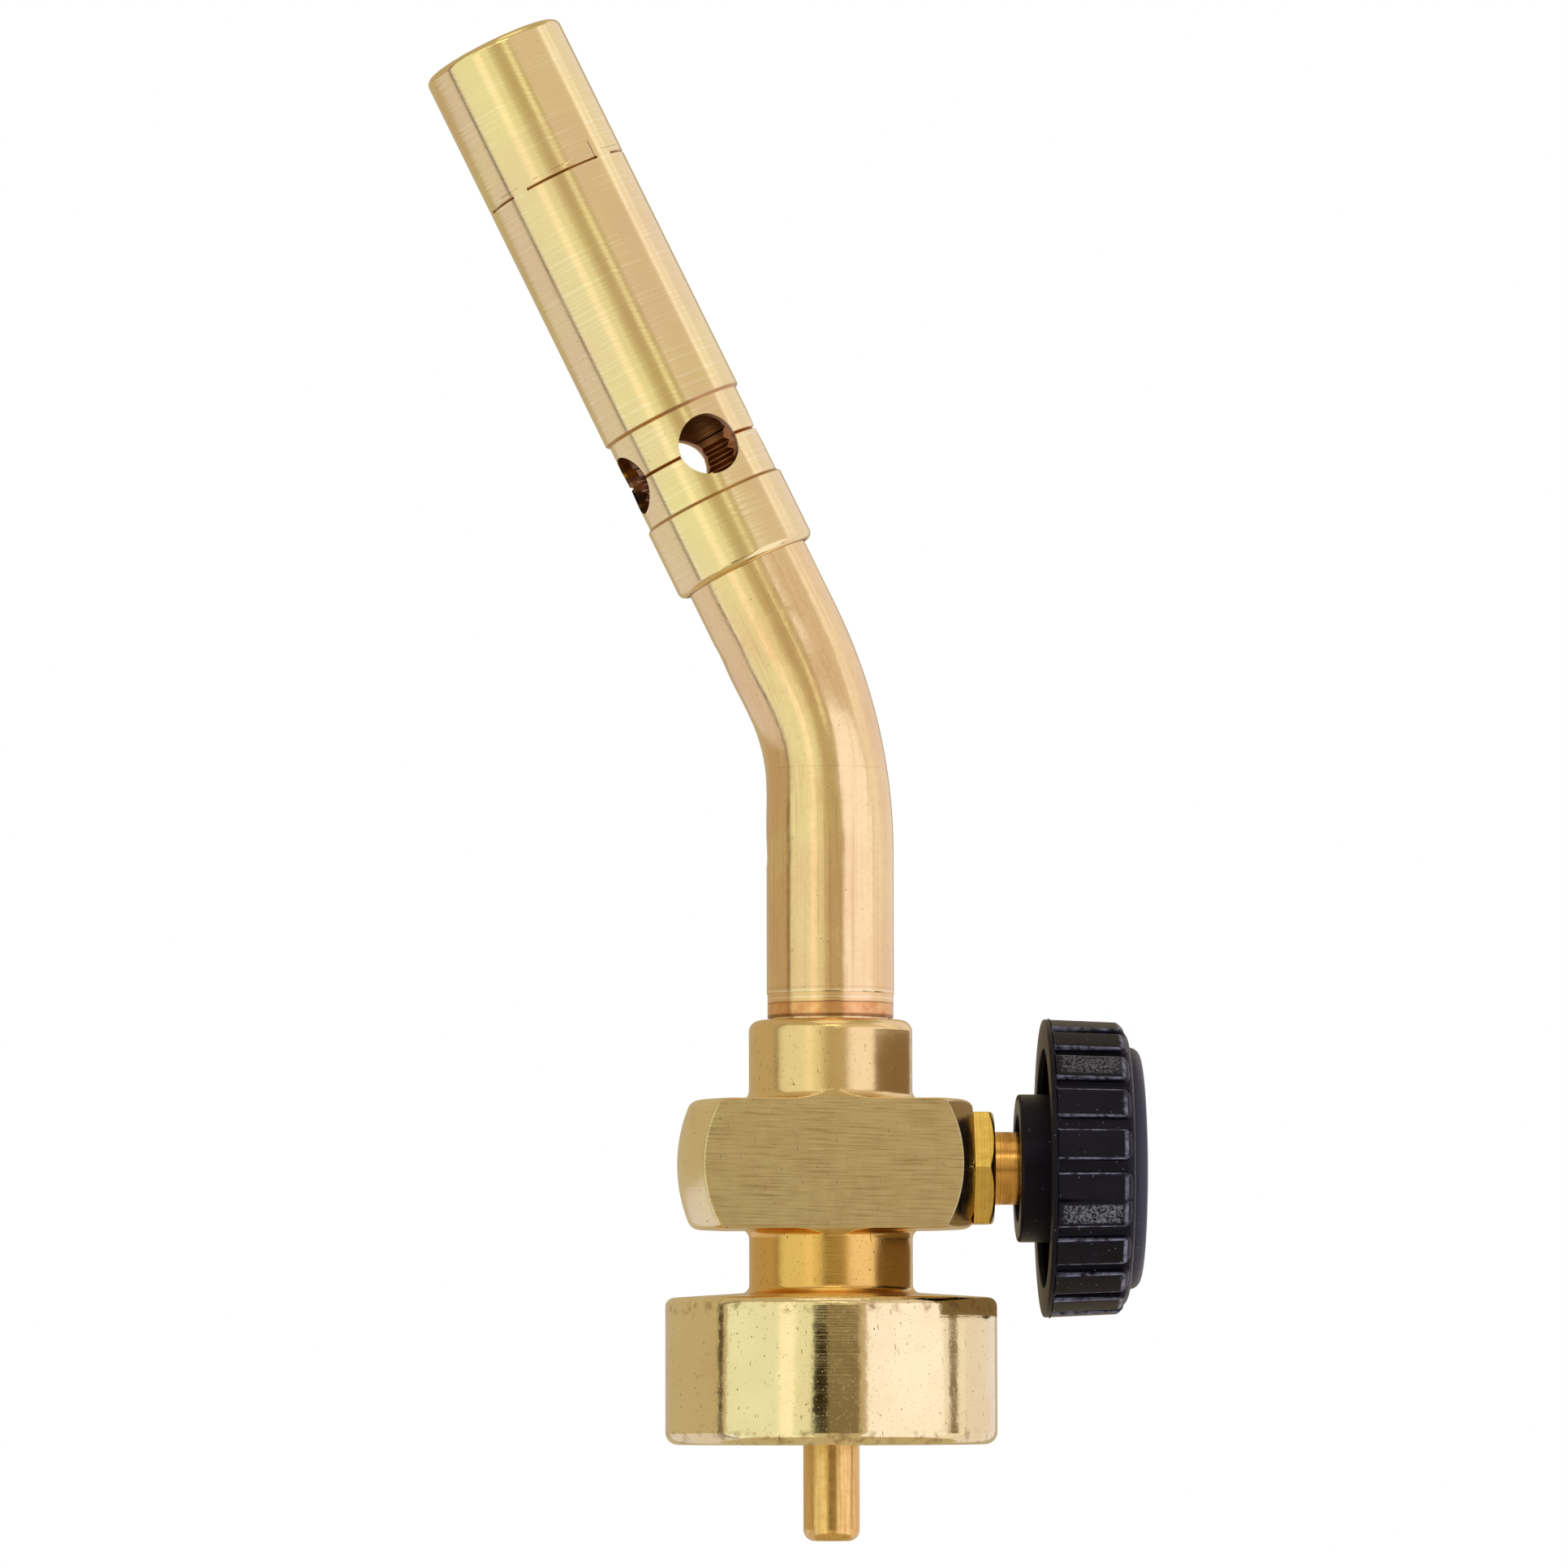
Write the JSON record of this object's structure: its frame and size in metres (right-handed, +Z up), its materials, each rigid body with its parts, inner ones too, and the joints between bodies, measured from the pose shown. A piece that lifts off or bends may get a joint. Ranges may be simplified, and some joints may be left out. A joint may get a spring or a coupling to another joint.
{
  "type": "hand torch head",
  "caption": "Brass pencil-flame gas torch head: threaded cylinder collar, valve barrel with fluted black knob, bent tube and a burner tube with air holes.",
  "frame": {"origin": "centre of the cylinder collar's mouth, on the thread axis", "axes": "+Z up the valve body along the thread axis, away from the cylinder; +X along the valve stem towards the knob; the bent tube leans the burner from +Z towards -X; -Y is the front, on a wrench flat's side"},
  "size_m": [0.0689, 0.0318, 0.1466],
  "materials": {
    "turned_brass": "turned, polished and lightly pitted",
    "burner_brass": "turned, with fine tool lines",
    "drawn_brass": "drawn tube, polished",
    "pin_brass": "drawn rod",
    "yellow_brass": "machined, golden",
    "stem_brass": "machined, orange-brown",
    "copper_braze": "copper-coloured brazing metal, cleaned",
    "black_plastic": "satin moulded, finely speckled",
    "black_rubber": "matt",
    "white_polymer": "plain",
    "fibre_gasket": "fibre sheet",
    "sintered_bronze": "porous, matt",
    "zinc_steel": "zinc plated"
  },
  "bodies": {
    "torch_body": {"valve_body": "turned_brass", "inlet_probe": "pin_brass", "inlet_seal": "black_rubber", "probe_gasket": "fibre_gasket", "inlet_filter": "sintered_bronze", "gland_nut": "yellow_brass", "gas_tube": "drawn_brass", "braze_ring": "copper_braze", "burn_tube": "burner_brass", "jet_holder": "yellow_brass", "jet": "stem_brass", "jet_filter": "sintered_bronze", "flame_holder": "yellow_brass"},
    "seat_tip": {"stem_tip": "white_polymer"},
    "stem_and_knob": {"valve_stem": "stem_brass", "stem_o_ring": "black_rubber", "backup_ring": "white_polymer", "knob": "black_plastic", "knob_cap": "black_plastic", "knob_washer": "zinc_steel", "knob_screw": "zinc_steel"}
  },
  "joints": [
    {"name": "stem_advance", "type": "slide", "parent": "torch_body", "child": "seat_tip", "axis": [1, 0, 0], "range_m": [0, 0.00136]},
    {"name": "knob_turn", "type": "hinge", "parent": "seat_tip", "child": "stem_and_knob", "pos_m": [0, 0, 0.0264], "axis": [1, 0, 0], "range_deg": [0, 540]}
  ],
  "couplings": [
    {"joint": "stem_advance", "follows": "knob_turn", "m_per_rad": 0.00014438}
  ]
}
